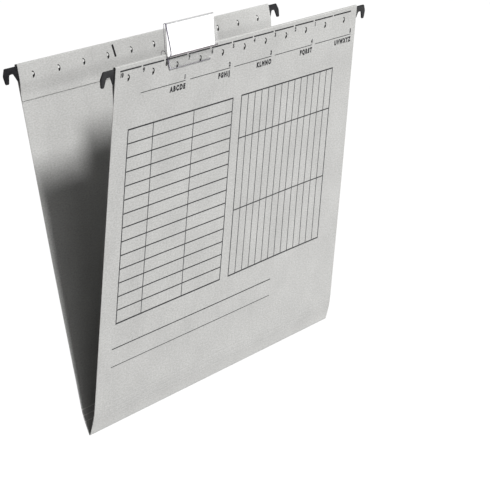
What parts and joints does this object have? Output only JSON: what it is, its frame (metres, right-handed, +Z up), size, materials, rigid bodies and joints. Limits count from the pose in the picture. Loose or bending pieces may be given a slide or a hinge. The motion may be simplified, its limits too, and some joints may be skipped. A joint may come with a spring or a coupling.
{
  "type": "hanging file folder",
  "caption": "Open hanging file folder of grey board with hemmed top edges over hooked steel rails, a creased base, punched tab slits and a clear clip-on tab holding a label card.",
  "frame": {"origin": "midway between the seats of the rear rail's two hooks, in the middle of the rail's thickness", "axes": "+X along the rails to the user's right, +Y from the front panel to the rear panel, +Z up"},
  "size_m": [0.3476, 0.0804, 0.2607],
  "materials": {
    "board": "uncoated recycled board, light grey with fine fibres",
    "rail": "satin black",
    "glue": "dried paper glue",
    "clear_tab": "clear, glossy",
    "label": "matt white card"
  },
  "bodies": {
    "rear_side": {"rear_panel": "board", "rear_hem_fold": "board", "rear_hem_flap": "board", "rear_hem_slope": "board", "rear_hem_foot": "board", "rear_base_strip_lower": "board", "rear_base_strip_middle": "board", "rear_base_strip_upper": "board", "rear_hem_glue": "glue", "rear_rail": "rail"},
    "front_side": {"front_panel": "board", "front_hem_fold": "board", "front_hem_flap": "board", "front_hem_slope": "board", "front_hem_foot": "board", "front_base_strip_lower": "board", "front_base_strip_middle": "board", "front_base_strip_upper": "board", "front_hem_glue": "glue", "front_rail": "rail"},
    "tab": {"tab_holder": "clear_tab"},
    "label": {"tab_label": "label"}
  },
  "joints": [
    {"name": "bottom_fold", "type": "hinge", "parent": "rear_side", "child": "front_side", "pos_m": [0, -0.03675, -0.23529], "axis": [1, 0, 0], "range_deg": [-16.3, 140]},
    {"name": "tab_slide", "type": "slide", "parent": "front_side", "child": "tab", "axis": [1, 0, 0], "range_m": [-0.0575, 0.2005]},
    {"name": "label_slide", "type": "slide", "parent": "tab", "child": "label", "axis": [1, 0, 0], "range_m": [0, 0.058]}
  ]
}
